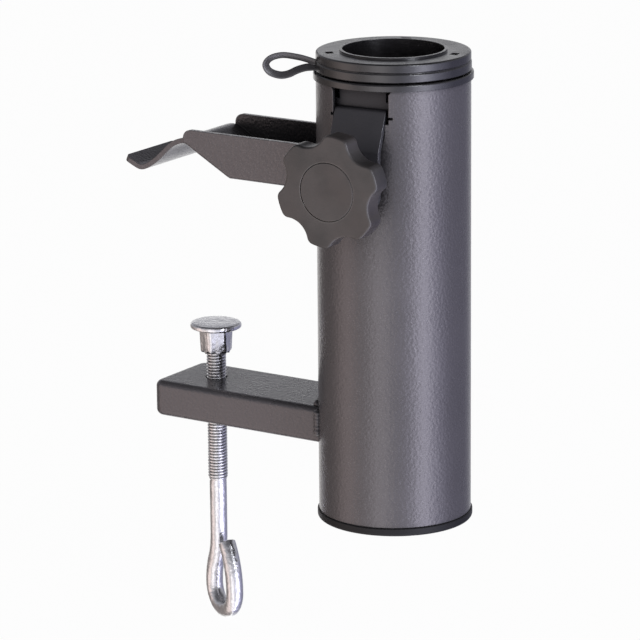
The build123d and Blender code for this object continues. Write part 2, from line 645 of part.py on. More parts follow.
with BuildPart() as knob_bolt:
    head_back_out = KNOB_FRONT_OUT - CAP_DISC_T - BOLT_HEAD_H
    with BuildSketch(facing_slot(head_back_out, KNOB_Z)):
        RegularPolygon(M8_NUT_FLATS / 2, 6, major_radius=False)
    extrude(amount=BOLT_HEAD_H)
    with BuildSketch(facing_slot(BOLT_END_OUT, KNOB_Z)):
        Circle(M8_R)
    extrude(amount=head_back_out - BOLT_END_OUT)
save(knob_bolt, "knob_bolt")

# ---- thrust shoe: swivel pad on the end of the bolt ---------------------------------------
SHOE_R = 3.7
SHOE_DOME_R = 5.0

with BuildPart() as thrust_shoe:
    with BuildSketch(facing_slot(BOLT_END_OUT, KNOB_Z)):
        Circle(SHOE_R)
    extrude(amount=-SHOE_T)
    with Locations(facing_slot(SHOE_FACE_OUT + SHOE_DOME_R, KNOB_Z).location):
        Sphere(SHOE_DOME_R, mode=Mode.INTERSECT)
save(thrust_shoe, "thrust_shoe")
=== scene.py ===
"""Looks of the balcony-rail parasol clamp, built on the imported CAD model.

Metres, +Z up: the socket tube stands on the Z axis, the arms reach towards -X and the
star knob faces -Y.
"""
import bmesh
import bpy
import math
import random
from math import cos, pi, radians, sin, sqrt
from mathutils import Matrix, Vector


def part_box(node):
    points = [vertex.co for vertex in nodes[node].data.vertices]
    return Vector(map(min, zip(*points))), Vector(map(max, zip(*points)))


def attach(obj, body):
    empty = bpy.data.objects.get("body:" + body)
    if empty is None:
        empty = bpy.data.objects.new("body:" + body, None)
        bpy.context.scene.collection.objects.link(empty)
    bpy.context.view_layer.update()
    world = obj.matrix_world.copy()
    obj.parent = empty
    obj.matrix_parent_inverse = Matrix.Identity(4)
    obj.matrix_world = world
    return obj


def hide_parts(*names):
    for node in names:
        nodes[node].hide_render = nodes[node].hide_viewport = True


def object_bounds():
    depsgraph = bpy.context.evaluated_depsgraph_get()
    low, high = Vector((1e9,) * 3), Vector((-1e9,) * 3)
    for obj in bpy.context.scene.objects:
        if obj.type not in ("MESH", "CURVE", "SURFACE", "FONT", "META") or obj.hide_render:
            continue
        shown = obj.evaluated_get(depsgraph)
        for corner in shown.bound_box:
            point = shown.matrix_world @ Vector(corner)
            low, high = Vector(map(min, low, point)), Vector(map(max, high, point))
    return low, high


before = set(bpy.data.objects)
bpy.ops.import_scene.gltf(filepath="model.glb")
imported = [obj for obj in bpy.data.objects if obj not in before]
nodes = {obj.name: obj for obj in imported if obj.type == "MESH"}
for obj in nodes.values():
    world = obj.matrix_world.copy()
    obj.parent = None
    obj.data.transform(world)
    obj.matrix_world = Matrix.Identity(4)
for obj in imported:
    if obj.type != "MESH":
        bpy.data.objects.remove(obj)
cad_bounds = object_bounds()
scene = bpy.context.scene
MM = 0.001
SIDE_RAYS = 6                    # rays that a rounded edge or a recess is sampled with
MIX_A = 6                        # colour sockets of a Mix node
MIX_B = 7
MIX_RESULT = 2


# ---- small helpers --------------------------------------------------------------------
def centre(node):
    """Middle of a CAD node's box."""
    low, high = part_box(node)
    return (Vector(low) + Vector(high)) / 2


def box_radius(node):
    """Radius of a round node that stands upright."""
    low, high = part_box(node)
    return (high[0] - low[0]) / 2


def new_piece(name, mesh, body, material):
    """Link a mesh as a smooth piece that rides on a body and takes a material."""
    piece = bpy.data.objects.new(name, mesh)
    scene.collection.objects.link(piece)
    mesh.materials.clear()
    mesh.materials.append(material)
    for face in mesh.polygons:
        face.use_smooth = True
    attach(piece, body)
    return piece


def mesh_from_rings(name, rings, capped=True):
    """A mesh lofted through closed rings of points, each with the same number of points."""
    mesh = bpy.data.meshes.new(name)
    count = len(rings[0])
    verts = [tuple(point) for ring in rings for point in ring]
    faces = []
    for i in range(len(rings) - 1):
        for j in range(count):
            k = (j + 1) % count
            a = i * count + j
            b = i * count + k
            faces.append((a, b, b + count, a + count))
    if capped:
        last = (len(rings) - 1) * count
        faces.append(tuple(reversed(range(count))))
        faces.append(tuple(last + j for j in range(count)))
    mesh.from_pydata(verts, [], faces)
    mesh.validate()
    fix = bmesh.new()
    fix.from_mesh(mesh)
    bmesh.ops.recalc_face_normals(fix, faces=fix.faces)
    fix.to_mesh(mesh)
    fix.free()
    return mesh


def auto_smooth(piece, angle):
    """Smooth shading that keeps edges sharper than the angle in degrees."""
    mesh = piece.data
    work = bmesh.new()
    work.from_mesh(mesh)
    limit = radians(angle)
    for edge in work.edges:
        edge.smooth = len(edge.link_faces) == 2 and edge.calc_face_angle(0) < limit
    for face in work.faces:
        face.smooth = True
    work.to_mesh(mesh)
    work.free()


# ---- material building blocks -----------------------------------------------------------
class Nodes:
    """A thin wrapper that adds and links shader nodes."""

    def __init__(self, name):
        self.material = bpy.data.materials.new(name)
        self.material.use_nodes = True
        self.tree = self.material.node_tree
        self.tree.nodes.clear()
        self.output = self.add("ShaderNodeOutputMaterial")
        self.bsdf = self.add("ShaderNodeBsdfPrincipled")
        self.link(self.bsdf.outputs[0], self.output.inputs["Surface"])
        self.place = self.add("ShaderNodeNewGeometry").outputs["Position"]

    def add(self, kind, **values):
        node = self.tree.nodes.new(kind)
        for key, value in values.items():
            setattr(node, key, value)
        return node

    def link(self, a, b):
        self.tree.links.new(a, b)

    def set(self, name, value):
        """Give an input of the surface shader a value or a link."""
        if isinstance(value, bpy.types.NodeSocket):
            self.link(value, self.bsdf.inputs[name])
        else:
            self.bsdf.inputs[name].default_value = value

    def noise(self, size, detail=3.0, rough=0.5, stretch=(1, 1, 1)):
        """Noise whose features are about the given size in metres."""
        mapping = self.add("ShaderNodeMapping")
        mapping.inputs["Scale"].default_value = stretch
        self.link(self.place, mapping.inputs["Vector"])
        node = self.add("ShaderNodeTexNoise")
        node.inputs["Scale"].default_value = 1.0 / size
        node.inputs["Detail"].default_value = detail
        node.inputs["Roughness"].default_value = rough
        self.link(mapping.outputs[0], node.inputs["Vector"])
        return node.outputs[0]

    def patches(self, size, low, high, detail=3.0):
        """Soft-edged patches: zero where the noise is under low, one where it is over high."""
        return self.ramp(self.noise(size, detail=detail), ((low, 0.0), (high, 1.0)))

    def soft_cells(self, size, smoothness):
        """Distance from the middles of rounded cells of about the given size."""
        node = self.add("ShaderNodeTexVoronoi", feature="SMOOTH_F1")
        node.inputs["Scale"].default_value = 1.0 / size
        node.inputs["Smoothness"].default_value = smoothness
        self.link(self.place, node.inputs["Vector"])
        return node.outputs["Distance"]

    def ramp(self, value, stops):
        """Map a value through (position, grey or colour) stops."""
        node = self.add("ShaderNodeValToRGB")
        band = node.color_ramp
        while len(band.elements) < len(stops):
            band.elements.new(0.5)
        for element, (position, colour) in zip(band.elements, stops):
            if not isinstance(colour, tuple):
                colour = (colour, colour, colour)
            element.position = position
            element.color = (*colour, 1.0)
        self.link(value, node.inputs[0])
        return node.outputs[0]

    def mix(self, factor, a, b, blend="MIX"):
        """Blend two colours or sockets."""
        node = self.add("ShaderNodeMix", data_type="RGBA", blend_type=blend)
        sockets = (node.inputs[0], node.inputs[MIX_A], node.inputs[MIX_B])
        for socket, value in zip(sockets, (factor, a, b)):
            if isinstance(value, bpy.types.NodeSocket):
                self.link(value, socket)
            elif isinstance(value, tuple):
                socket.default_value = (*value, 1.0)
            else:
                socket.default_value = value
        return node.outputs[MIX_RESULT]

    def maths(self, operation, a, b):
        """An operation on two numbers or sockets."""
        node = self.add("ShaderNodeMath", operation=operation)
        for socket, value in zip(node.inputs, (a, b)):
            if isinstance(value, bpy.types.NodeSocket):
                self.link(value, socket)
            else:
                socket.default_value = value
        return node.outputs[0]

    def rounded_normal(self, radius):
        """The normal as if every edge were rounded to the radius."""
        bevel = self.add("ShaderNodeBevel", samples=SIDE_RAYS)
        bevel.inputs["Radius"].default_value = radius
        return bevel.outputs[0]

    def bump(self, layers, edge_radius):
        """Stack (height socket, depth in metres) layers over rounded edges."""
        normal = self.rounded_normal(edge_radius)
        for height, depth in layers:
            node = self.add("ShaderNodeBump")
            node.inputs["Strength"].default_value = 1.0
            node.inputs["Distance"].default_value = depth
            self.link(height, node.inputs["Height"])
            self.link(normal, node.inputs["Normal"])
            normal = node.outputs[0]
        self.link(normal, self.bsdf.inputs["Normal"])

    def edge_wear(self, radius, low=0.02, high=0.16):
        """White where an edge turns sharply, for rubbed paint."""
        geometry = self.add("ShaderNodeNewGeometry")
        dot = self.add("ShaderNodeVectorMath", operation="DOT_PRODUCT")
        self.link(self.rounded_normal(radius), dot.inputs[0])
        self.link(geometry.outputs["Normal"], dot.inputs[1])
        turned = self.maths("SUBTRACT", 1.0, dot.outputs["Value"])
        return self.ramp(turned, ((low, 0.0), (high, 1.0)))

    def openness(self, distance):
        """One on open surfaces, falling towards zero in corners and recesses."""
        node = self.add("ShaderNodeAmbientOcclusion", samples=SIDE_RAYS)
        node.inputs["Distance"].default_value = distance
        return node.outputs["AO"]


def hammered_paint():
    """Dark grey metallic paint with a fine hammered skin, rubbed a little at the edges, with painted shade
    near other parts and in corners.
    """
    m = Nodes("hammered_paint")
    skin = m.soft_cells(1.2 * MM, smoothness=0.6)
    grain = m.noise(0.5 * MM, detail=2.0)
    cloud = m.noise(30 * MM)
    base = m.mix(cloud, (0.115, 0.108, 0.112), (0.150, 0.142, 0.146))
    flecks = m.patches(0.35 * MM, 0.58, 0.74, detail=1.0)
    base = m.mix(m.maths("MULTIPLY", flecks, 0.35), base, (0.32, 0.31, 0.32))
    wear = m.maths("MULTIPLY", m.edge_wear(0.4 * MM), m.patches(4 * MM, 0.42, 0.62))
    base = m.mix(m.maths("MULTIPLY", wear, 0.5), base, (0.36, 0.35, 0.34))
    # Painted shade: the base colour darkens within about 36 mm of other parts, such as beside the knob and
    # lever and in corners and channels.
    painted_shade = m.ramp(m.openness(36 * MM), ((0.50, 0.32), (0.90, 1.0)))
    m.set("Base Color", m.mix(1.0, base, painted_shade, blend="MULTIPLY"))
    m.set("Metallic", 0.55)
    m.set("Roughness", m.ramp(cloud, ((0.3, 0.24), (0.7, 0.30))))
    m.set("Specular IOR Level", 0.5)
    m.set("Coat Weight", 0.15)
    m.set("Coat Roughness", 0.2)
    m.bump(((skin, 0.10 * MM), (grain, 0.07 * MM)), edge_radius=0.5 * MM)
    return m.material


def moulded_plastic(name, dark, light, roughness, grain_size=0.4 * MM, grain_depth=0.025 * MM,
                    tint=None, shine=1.0, edge_shine=None):
    """Moulded plastic with a spark-eroded grain and a faint haze.

    A tint adds patches of another colour, and edge_shine is the roughness of polished edges.
    """
    m = Nodes(name)
    grain = m.noise(grain_size, detail=2.0, rough=0.6)
    cloud = m.noise(12 * MM, detail=4.0)
    base = m.mix(m.ramp(cloud, ((0.35, 0.0), (0.7, 1.0))), dark, light)
    if tint:
        base = m.mix(m.maths("MULTIPLY", m.patches(20 * MM, 0.45, 0.65), 0.5), base, tint)
    wear = m.maths("MULTIPLY", m.edge_wear(0.3 * MM), 0.25)
    base = m.mix(wear, base, tuple(min(1.0, 2.2 * c) for c in light))
    m.set("Base Color", base)
    rough = m.ramp(cloud, ((0.3, roughness - 0.04), (0.7, roughness + 0.06)))
    if edge_shine:
        rubbed = m.edge_wear(0.8 * MM, low=0.01, high=0.10)
        rough = m.mix(rubbed, rough, (edge_shine, edge_shine, edge_shine))
        m.set("Coat Weight", rubbed)
        m.set("Coat Roughness", edge_shine)
        m.set("Coat IOR", 1.9)
    m.set("Roughness", rough)
    m.set("Specular IOR Level", shine)
    scuffs = m.noise(3 * MM, detail=5.0, stretch=(1, 1, 5))
    m.bump(((scuffs, 0.06 * MM), (grain, grain_depth)), edge_radius=0.3 * MM)
    return m.material


def zinc_plate():
    """Bright zinc plating: shiny, wrinkled by forming, with a cloudy tint and painted shade in its grooves.
    """
    m = Nodes("zinc_plate")
    cloud = m.noise(6 * MM, detail=4.0)
    base = m.mix(cloud, (0.80, 0.80, 0.81), (0.95, 0.95, 0.95))
    grime = m.patches(1.4 * MM, 0.56, 0.76, detail=4.0)
    base = m.mix(m.maths("MULTIPLY", grime, 0.45), base, (0.36, 0.35, 0.35))
    # Painted shade: the base colour darkens in grooves and corners narrower than about 1 mm, such as
    # between the thread's turns.
    painted_recess_shade = m.ramp(m.openness(0.9 * MM), ((0.30, 0.25), (0.80, 1.0)))
    m.set("Base Color", m.mix(1.0, base, painted_recess_shade, blend="MULTIPLY"))
    m.set("Metallic", 1.0)
    m.set("Roughness", m.ramp(cloud, ((0.3, 0.20), (0.7, 0.30))))
    streak = m.noise(0.6 * MM, stretch=(1, 1, 0.12))
    wrinkles = m.noise(2.2 * MM)
    m.bump(((wrinkles, 0.30 * MM), (streak, 0.03 * MM)), edge_radius=0.3 * MM)
    return m.material


def lever_paint():
    """Thin black paint over pressed sheet, with painted shade in its recesses."""
    m = Nodes("lever_paint")
    cloud = m.noise(10 * MM)
    base = m.mix(cloud, (0.056, 0.055, 0.059), (0.074, 0.072, 0.078))
    wear = m.maths("MULTIPLY", m.edge_wear(0.3 * MM), m.patches(3 * MM, 0.40, 0.60))
    base = m.mix(m.maths("MULTIPLY", wear, 0.8), base, (0.42, 0.42, 0.44))
    # Painted shade: the base colour and the specular level fall in recesses within about 10 mm, such as
    # where the sheet goes into the tube under the collar.
    painted_recess_shade = m.ramp(m.openness(10 * MM), ((0.45, 0.20), (0.90, 1.0)))
    m.set("Base Color", m.mix(1.0, base, painted_recess_shade, blend="MULTIPLY"))
    m.set("Specular IOR Level", m.maths("MULTIPLY", painted_recess_shade, 0.6))
    m.set("Metallic", 0.35)
    m.set("Roughness", m.ramp(cloud, ((0.3, 0.32), (0.7, 0.42))))
    orange_peel = m.noise(1.2 * MM)
    grain = m.noise(0.4 * MM)
    m.bump(((orange_peel, 0.05 * MM), (grain, 0.02 * MM)), edge_radius=0.4 * MM)
    return m.material


paint = hammered_paint()
collar_plastic = moulded_plastic("collar_plastic", (0.009, 0.0085, 0.009), (0.018, 0.017, 0.018), 0.23)
strap_plastic = moulded_plastic("strap_plastic", (0.060, 0.058, 0.060), (0.095, 0.092, 0.095), 0.30)
rubbery_plastic = moulded_plastic(
    "rubbery_plastic", (0.008, 0.008, 0.009), (0.014, 0.013, 0.014), 0.50, shine=0.35,
)
knob_plastic = moulded_plastic(
    "knob_plastic", (0.018, 0.016, 0.015), (0.056, 0.049, 0.045), 0.42,
    grain_size=0.55 * MM, grain_depth=0.04 * MM, tint=(0.056, 0.041, 0.036), edge_shine=0.12,
)
zinc = zinc_plate()
lever_black = lever_paint()

# Every CAD node takes a finish, also the nodes that a detailed piece stands for further on.
FINISH = {
    "socket_tube": paint,
    "hook_arm": paint,
    "hook_arm_welds": paint,
    "clamp_arm": paint,
    "clamp_arm_welds": paint,
    "bottom_cap": rubbery_plastic,
    "top_bushing": collar_plastic,
    "large_reducer": collar_plastic,
    "small_reducer": collar_plastic,
    "pull_strap": strap_plastic,
    "clamp_nut": zinc,
    "clamp_screw": zinc,
    "pressure_foot": zinc,
    "foot_clip": zinc,
    "clamp_lever": lever_black,
    "lever_nut": zinc,
    "thrust_shoe": zinc,
    "knob_bolt": zinc,
    "knob_body": knob_plastic,
    "knob_cap": knob_plastic,
}
for node, material in FINISH.items():
    nodes[node].data.materials.clear()
    nodes[node].data.materials.append(material)

# ---- threaded pieces ----------------------------------------------------------------------
PITCH = 1.25 * MM
THREAD_R = 4.0 * MM
THREAD_DEPTH = 0.62 * MM
THREAD_STEPS = 12                # rings to one turn of thread
THREAD_STEEPNESS = 1.6           # how soon a flank reaches the crest's height
THREAD_CREASE = 50               # degrees between faces that stay a sharp edge
ROUND = 40                       # points round a rod


def thread_radius(along, angle, fade):
    """Radius of a right-hand M8 thread; fade 0 gives the plain core, 1 the full thread."""
    phase = (along / PITCH - angle / (2 * pi)) % 1.0
    ridge = min(1.0, THREAD_STEEPNESS * (1.0 - abs(2.0 * phase - 1.0)))
    smooth = ridge * ridge * (3 - 2 * ridge)
    return THREAD_R - THREAD_DEPTH + THREAD_DEPTH * smooth * fade


def ring_at(middle, side_a, side_b, radius):
    """Points round a circle; radius is a number or a function of the angle."""
    points = []
    for j in range(ROUND):
        angle = 2 * pi * j / ROUND
        r = radius(angle) if callable(radius) else radius
        points.append(middle + side_a * (r * cos(angle)) + side_b * (r * sin(angle)))
    return points


def hexagon_radius(flats, corner_round=0.04):
    """Radius function of a hexagon with slightly rounded corners."""
    def radius(angle):
        turn = (angle + pi / 6) % (pi / 3) - pi / 6
        sharp = flats / 2 / cos(turn)
        return min(sharp, flats / 2 / cos(pi / 6) * (1 - corner_round))
    return radius


SCREW_YAW = radians(-29.5)       # the plane of the eye, turned from +X
SHANK_R = 3.5 * MM
EYE_R = 9.4 * MM
EYE_OFFSET = 4.6 * MM            # centre of the eye from the shank's axis
NECK_ABOVE_CENTRE = 21.7 * MM
EYE_END_OFFSET = 7.4 * MM
EYE_END_ABOVE_CENTRE = 19.4 * MM
THREAD_END_ABOVE_CENTRE = 44.4 * MM
SHANK_BELOW_THREAD = 0.5 * MM    # where the plain shank has its full radius
SHANK_ABOVE_NECK = 2.0 * MM      # where the last ring of the straight shank is
THREAD_BELOW_CLIP = 0.2 * MM     # from the foot's snap ring to the first ring of the thread
THREAD_RUN_OUT = 1.5 * PITCH     # over this length the thread fades into the shank
THREAD_START_FADE = 0.2          # share of the full height at the first ring
TIP_R = 3.5 * MM
TIP_NECK_R = 2.8 * MM            # groove of the snap ring
TIP_NECK_H = 1.2 * MM
TIP_CROWN = ((0, 0.55), (0.4 * MM, 0.85), (1.2 * MM, 1.0))    # (below the top, share of TIP_R)
EYE_TIP_CHAMFER = 0.4 * MM
EYE_TIP_LENGTH = 0.3 * MM
NECK_STEPS = 8                   # points along each arc of the eye's centre line
BEND_STEPS = 28
RETURN_STEPS = 14


def arc_points(start, end, upright_at_start, steps):
    """Points of an arc from start to end in the eye's plane, upright at one of its ends."""
    upright, other = (start, end) if upright_at_start else (end, start)
    across = other.x - upright.x
    radius = (across ** 2 + (other.y - upright.y) ** 2) / (2 * across)
    hub = Vector((upright.x + radius, upright.y))
    a0 = math.atan2(start.y - hub.y, start.x - hub.x)
    a1 = math.atan2(end.y - hub.y, end.x - hub.x)
    turn = (a1 - a0 + pi) % (2 * pi) - pi
    return [hub + abs(radius) * Vector((cos(a0 + turn * i / steps), sin(a0 + turn * i / steps)))
            for i in range(steps + 1)]


def eye_centreline(centre_z):
    """Centre line of the neck and eye as (across, up) points."""
    hub = Vector((EYE_OFFSET, centre_z))
    neck = Vector((0, centre_z + NECK_ABOVE_CENTRE))
    left = hub - Vector((EYE_R, 0))
    right = hub + Vector((EYE_R, 0))
    middle_of_neck = (neck + left) / 2
    line = arc_points(neck, middle_of_neck, True, NECK_STEPS)[:-1]
    line += arc_points(middle_of_neck, left, False, NECK_STEPS)[:-1]
    line += [hub + EYE_R * Vector((cos(a), sin(a)))
             for a in (pi + pi * i / BEND_STEPS for i in range(BEND_STEPS))]
    end = Vector((EYE_END_OFFSET, centre_z + EYE_END_ABOVE_CENTRE))
    line += arc_points(right, end, True, RETURN_STEPS)
    return line


def threaded_eye_screw():
    """The clamp screw: real helical thread, plain shank and bent eye in one mesh."""
    low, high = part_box("clamp_screw")
    axis = centre("clamp_nut")
    u = Vector((cos(SCREW_YAW), sin(SCREW_YAW), 0))
    v = Vector((-sin(SCREW_YAW), cos(SCREW_YAW), 0))
    top = high[2]
    eye_z = low[2] + SHANK_R + EYE_R
    thread_low = eye_z + THREAD_END_ABOVE_CENTRE
    thread_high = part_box("foot_clip")[0][2] - THREAD_BELOW_CLIP
    neck_high = thread_high + TIP_NECK_H

    def at(z):
        return Vector((axis.x, axis.y, z))

    rings = [ring_at(at(top - below), u, v, share * TIP_R) for below, share in TIP_CROWN]
    rings.append(ring_at(at(neck_high), u, v, TIP_R))
    rings.append(ring_at(at(neck_high), u, v, TIP_NECK_R))
    rings.append(ring_at(at(thread_high), u, v, TIP_NECK_R))
    count = int((thread_high - thread_low) / PITCH * THREAD_STEPS)
    for i in range(count + 1):
        z = thread_high + (thread_low - thread_high) * i / count
        fade = min(1.0, (z - thread_low) / THREAD_RUN_OUT, THREAD_START_FADE + (thread_high - z) / PITCH)
        rings.append(ring_at(at(z), u, v, lambda a, z=z, fade=fade: thread_radius(z, a, fade)))
    rings.append(ring_at(at(thread_low - SHANK_BELOW_THREAD), u, v, SHANK_R))
    line = eye_centreline(eye_z)
    rings.append(ring_at(at(line[0].y + SHANK_ABOVE_NECK), u, v, SHANK_R))
    for i, point in enumerate(line):
        before = line[max(i - 1, 0)]
        after = line[min(i + 1, len(line) - 1)]
        along = (after - before).normalized()
        side = u * -along.y + Vector((0, 0, along.x))
        rings.append(ring_at(at(point.y) + u * point.x, side, v, SHANK_R))
    last = line[-1]
    lean = (line[-1] - line[-2]).normalized()
    side = u * -lean.y + Vector((0, 0, lean.x))
    tip = at(last.y) + u * last.x + (u * lean.x + Vector((0, 0, lean.y))) * EYE_TIP_LENGTH
    rings.append(ring_at(tip, side, v, SHANK_R - EYE_TIP_CHAMFER))
    mesh = mesh_from_rings("clamp_screw_looks", rings)
    piece = new_piece("clamp_screw_threaded", mesh, "screw", zinc)
    auto_smooth(piece, THREAD_CREASE)
    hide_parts("clamp_screw")


CLAMP_TURN = radians(4)          # the knob's axis is turned this far from -Y towards +X
BOLT_HEAD_OUT = 52.6 * MM        # distances from the tube's axis
BOLT_HEAD_BACK = 48.2 * MM
BOLT_END_OUT = 32.1 * MM
BOLT_FLATS = 13.0 * MM
BOLT_END_FADE = 0.1              # share of the full height at the last ring


def threaded_knob_bolt():
    """Hexagon bolt moulded into the knob, with its thread showing behind the knob."""
    out = Vector((sin(CLAMP_TURN), -cos(CLAMP_TURN), 0))
    u = Vector((cos(CLAMP_TURN), sin(CLAMP_TURN), 0))
    v = Vector((0, 0, 1))
    height = Vector((0, 0, centre("knob_bolt").z))

    def at(distance):
        return height + out * distance

    head = hexagon_radius(BOLT_FLATS)
    rings = [ring_at(at(BOLT_HEAD_OUT), u, v, head), ring_at(at(BOLT_HEAD_BACK), u, v, head)]
    rings.append(ring_at(at(BOLT_HEAD_BACK), u, v, THREAD_R - THREAD_DEPTH))
    length = BOLT_HEAD_BACK - BOLT_END_OUT
    count = int(length / PITCH * THREAD_STEPS)
    for i in range(1, count + 1):
        run = length * i / count
        fade = min(1.0, BOLT_END_FADE + (length - run) / PITCH)
        rings.append(ring_at(at(BOLT_HEAD_BACK - run), u, v,
                             lambda a, run=run, fade=fade: thread_radius(run, -a, fade)))
    mesh = mesh_from_rings("knob_bolt_looks", rings)
    piece = new_piece("knob_bolt_threaded", mesh, "knob", zinc)
    auto_smooth(piece, THREAD_CREASE)
    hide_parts("knob_bolt")


# ---- pressure foot ------------------------------------------------------------------------
FOOT_ROUND = 96                  # points round the foot
FOOT_PLATE = 2.7 * MM            # thickness of the round plate
FOOT_FLATS = 11.5 * MM
FOOT_CORNER_ROUND = 0.05
FOOT_TURN = radians(10)          # of the hexagon, from +X
FOOT_BORE_R = THREAD_R + 0.1 * MM
FOOT_CREASE = 40                 # degrees between faces that stay a sharp edge
FOOT_WAVES = 12                  # small waves round the crimped edge
FOOT_WAVE_SHARE = 0.05           # their height, as a share of the wave in the table below
FOOT_TOP_FLAT = 0.4              # the flat top's inner ring, as a share of the rim's radius
# The foot's outline, from the bore over the socket and the plate's rim to the top, in mm.
BORE_MOUTH = ((1.5, 0.0), (0.15, 0.0), (0.0, 0.25))            # (over the edge, past the bore)
CRIMP = ((0.0, 1.5, 0.86), (0.25, 8.0, 0.965), (0.8, 7.0, 1.0))    # (over the edge, wave, share of flats)
SOCKET_WALL = ((1.4, 1.06, 0.0), (0.5, 1.075, 0.0), (0.1, 1.075, 0.5))    # (below plate, share, fillet)
RIM_BELOW = ((0.0, 2.4), (0.20, 1.2), (0.55, 0.35), (0.95, 0.03), (1.25, 0.0))    # (over plate, inset)
RIM_ABOVE = ((0.75, 0.05), (0.35, 0.25), (0.08, 0.65), (0.0, 1.2))    # (below the top, inset)


def foot_ring(middle, z_of, radius_of):
    """A ring about a vertical axis whose height and radius are functions of the angle."""
    points = []
    for j in range(FOOT_ROUND):
        angle = 2 * pi * j / FOOT_ROUND
        r = radius_of(angle)
        points.append(Vector((middle.x + r * cos(angle), middle.y + r * sin(angle), z_of(angle))))
    return points


def pressure_foot():
    """Round plate with a rolled rim on a hexagonal socket with a crimped lower edge."""
    low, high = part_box("pressure_foot")
    middle = centre("pressure_foot")
    rim = box_radius("pressure_foot")
    top = high[2]
    under = top - FOOT_PLATE
    hexagon = hexagon_radius(FOOT_FLATS, FOOT_CORNER_ROUND)

    def level_ring(z, radius_of):
        return foot_ring(middle, lambda a: z, radius_of)

    def wavy_edge(z, wave):
        def height(a):
            corner = (hexagon(a - FOOT_TURN) - FOOT_FLATS / 2) / FOOT_FLATS
            return z + wave * corner + wave * FOOT_WAVE_SHARE * cos(FOOT_WAVES * a)
        return height

    rings = [level_ring(low[2] + over * MM, lambda a, past=past: FOOT_BORE_R + past * MM)
             for over, past in BORE_MOUTH]
    rings += [foot_ring(middle, wavy_edge(low[2] + over * MM, wave * MM),
                        lambda a, share=share: hexagon(a - FOOT_TURN) * share)
              for over, wave, share in CRIMP]
    rings += [level_ring(under - below * MM,
                         lambda a, share=share, fillet=fillet: hexagon(a - FOOT_TURN) * share + fillet * MM)
              for below, share, fillet in SOCKET_WALL]
    rings += [level_ring(under + over * MM, lambda a, inset=inset: rim - inset * MM)
              for over, inset in RIM_BELOW]
    rings += [level_ring(top - below * MM, lambda a, inset=inset: rim - inset * MM)
              for below, inset in RIM_ABOVE]
    rings.append(level_ring(top, lambda a: rim * FOOT_TOP_FLAT))
    mesh = mesh_from_rings("pressure_foot_looks", rings)
    piece = new_piece("pressure_foot_crimped", mesh, "foot", zinc)
    auto_smooth(piece, FOOT_CREASE)
    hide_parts("pressure_foot")


# ---- weld beads -----------------------------------------------------------------------------
BEAD_R = 1.5 * MM
BEAD_RIPPLE = 1.5 * MM           # distance between the ripples of a bead
BEAD_STEPS = 6                   # rings to one ripple
BEAD_RIPPLE_H = 0.16 * BEAD_R
BEAD_WANDER = 0.06 * BEAD_R      # largest change of radius from one ring to the next
BEAD_MEMORY = 0.85               # how much of the wander the next ring keeps
BEAD_END_SHARE = 0.35            # radius of the end rings
BEAD_END_RINGS = 7               # rings over which an end tapers
SHEET = 2.0 * MM                 # of the hook arm
ARC_HALF_STEPS = 12              # points on each half of the top bead
ARC_FROM_CORNER = 3.0 * MM       # the top bead stops short of the arm's sides
ARC_CLEAR = 0.3 * MM             # bead centre line from the tube's wall
ARC_ABOVE = 0.2 * MM             # and from the top of the sheet
SIDE_CLEAR_X = 0.2 * MM          # the side beads run this far outside the corner they fill
SIDE_CLEAR_Y = 0.1 * MM
SIDE_ABOVE_END = 0.6 * MM        # and end this far inside the welds' box
SIDE_BELOW_TOP = 2.4 * MM


def bead_rings(path, chance):
    """Rings of a rippled weld bead along a path of points, tapering at both ends."""
    dense = []
    for a, b in zip(path[:-1], path[1:]):
        steps = max(1, round((b - a).length / (BEAD_RIPPLE / BEAD_STEPS)))
        dense += [a.lerp(b, i / steps) for i in range(steps)]
    dense.append(path[-1])
    rings = []
    travelled = 0.0
    wander = 0.0
    for i, point in enumerate(dense):
        before = dense[max(i - 1, 0)]
        after = dense[min(i + 1, len(dense) - 1)]
        along = (after - before).normalized()
        travelled += (point - before).length
        wander = BEAD_MEMORY * wander + chance.uniform(-1, 1) * BEAD_WANDER
        end_fade = min(1.0, BEAD_END_SHARE + min(i, len(dense) - 1 - i) / BEAD_END_RINGS)
        ripple = BEAD_RIPPLE_H * abs(sin(pi * travelled / BEAD_RIPPLE))
        radius = (BEAD_R + ripple + wander) * end_fade
        side = along.orthogonal().normalized()
        rings.append(ring_at(point, side, along.cross(side), radius))
    return rings


def weld_pieces(node, arm, sheet_top, name, seed):
    """Beads round the root of an arm: over its top sheet and down both its sides."""
    chance = random.Random(seed)
    arm_low, arm_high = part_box(arm)
    bead_low, bead_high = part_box(node)
    tube_r = box_radius("socket_tube")
    half = (arm_high[1] - arm_low[1]) / 2
    corner_x = -sqrt(tube_r ** 2 - half ** 2)
    over = math.asin((half - ARC_FROM_CORNER) / tube_r)
    arc_r = tube_r + ARC_CLEAR
    angles = [over * (i / ARC_HALF_STEPS - 1) for i in range(2 * ARC_HALF_STEPS + 1)]
    paths = [[Vector((-cos(a) * arc_r, sin(a) * arc_r, sheet_top + ARC_ABOVE)) for a in angles]]
    for side in (-1, 1):
        x = corner_x - SIDE_CLEAR_X
        y = side * (half + SIDE_CLEAR_Y)
        bottom = Vector((x, y, bead_low[2] + SIDE_ABOVE_END))
        paths.append([bottom, Vector((x, y, bead_high[2] - SIDE_BELOW_TOP))])
    for i, path in enumerate(paths):
        mesh = mesh_from_rings(f"{name}_{i}_looks", bead_rings(path, chance))
        new_piece(f"{name}_{i}", mesh, "socket", paint)
    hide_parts(node)


